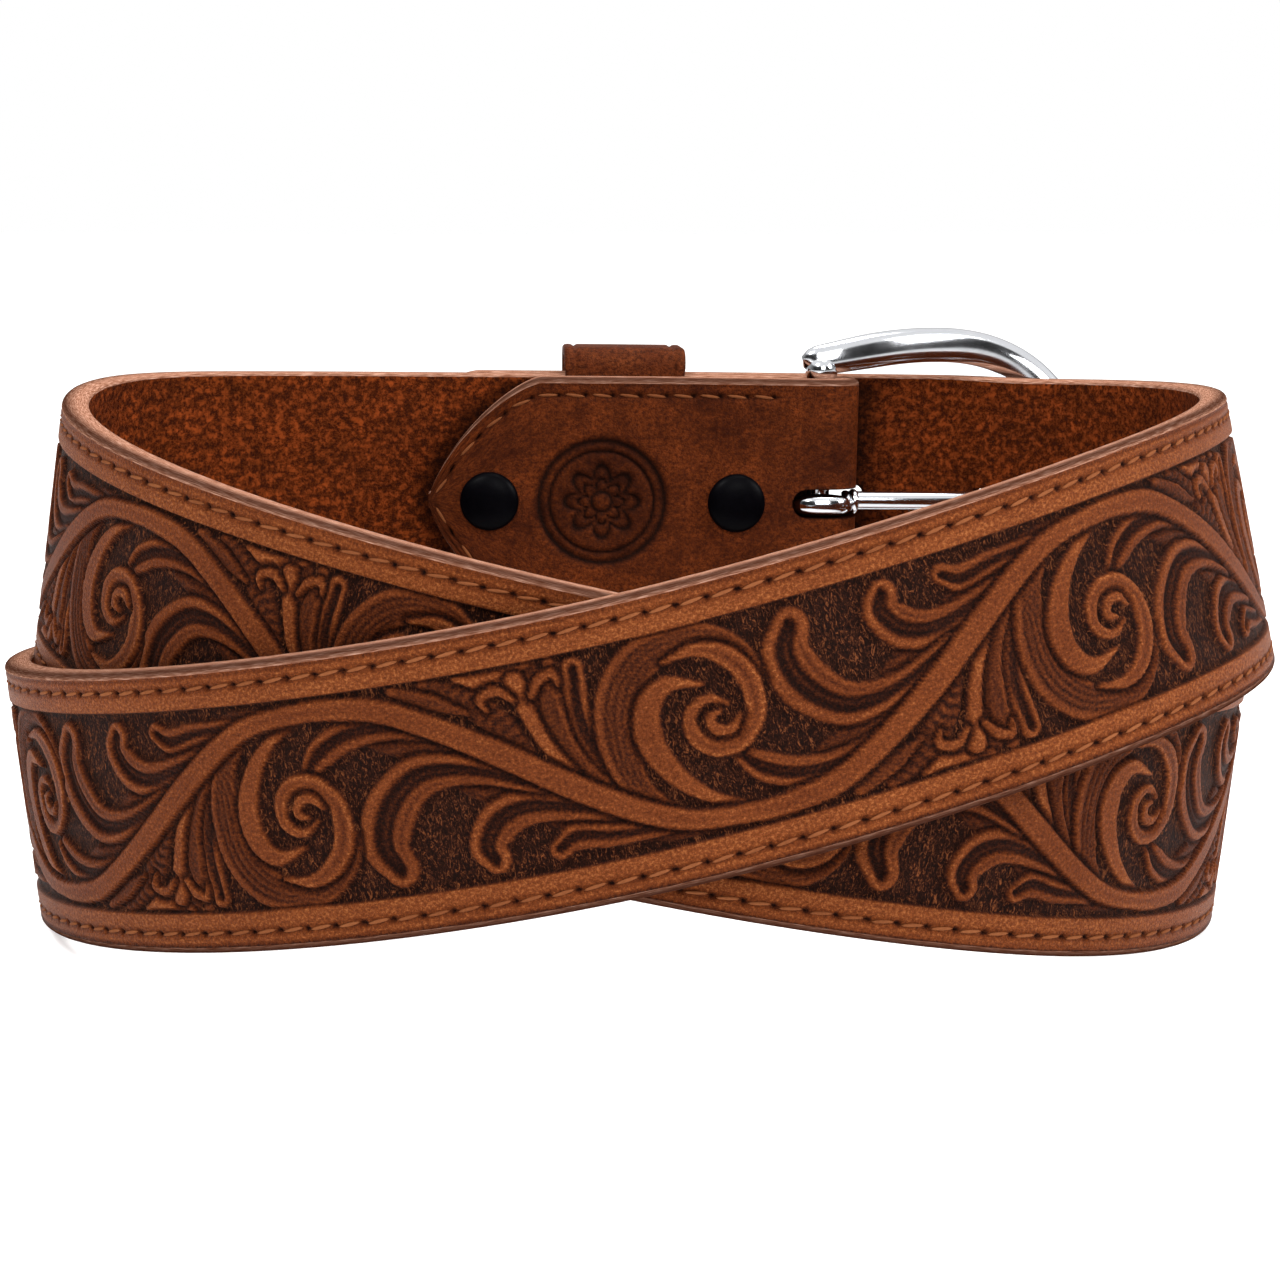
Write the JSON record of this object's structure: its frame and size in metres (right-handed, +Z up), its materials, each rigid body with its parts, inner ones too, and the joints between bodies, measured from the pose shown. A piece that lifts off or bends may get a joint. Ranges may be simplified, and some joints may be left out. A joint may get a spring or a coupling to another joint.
{
  "type": "western tooled leather belt",
  "caption": "Tooled and stitched leather waist belt with a buckle held by a snapped tab, a keeper loop and a pointed billet, fastened and wound double, standing on its edge.",
  "frame": {"origin": "middle of the belt's footprint, on the surface that it stands on", "axes": "+X along the belt's wide way, towards its right end as seen from the front; +Z up along the strap's width; -Y towards the front, where the tooled outer turn is seen; the buckle is at the back, +Y"},
  "size_m": [0.182, 0.1238, 0.0847],
  "materials": {
    "tooled_leather": "tooled, antiqued, satin",
    "polished_nickel": "polished",
    "keeper_leather": "smooth satin",
    "black_enamel": "semi-matte"
  },
  "bodies": {
    "root": {"strap": "tooled_leather", "buckle_frame": "polished_nickel", "buckle_prong": "polished_nickel", "keeper_loop": "keeper_leather", "snap_front": "black_enamel", "snap_rear": "black_enamel"}
  },
  "joints": []
}
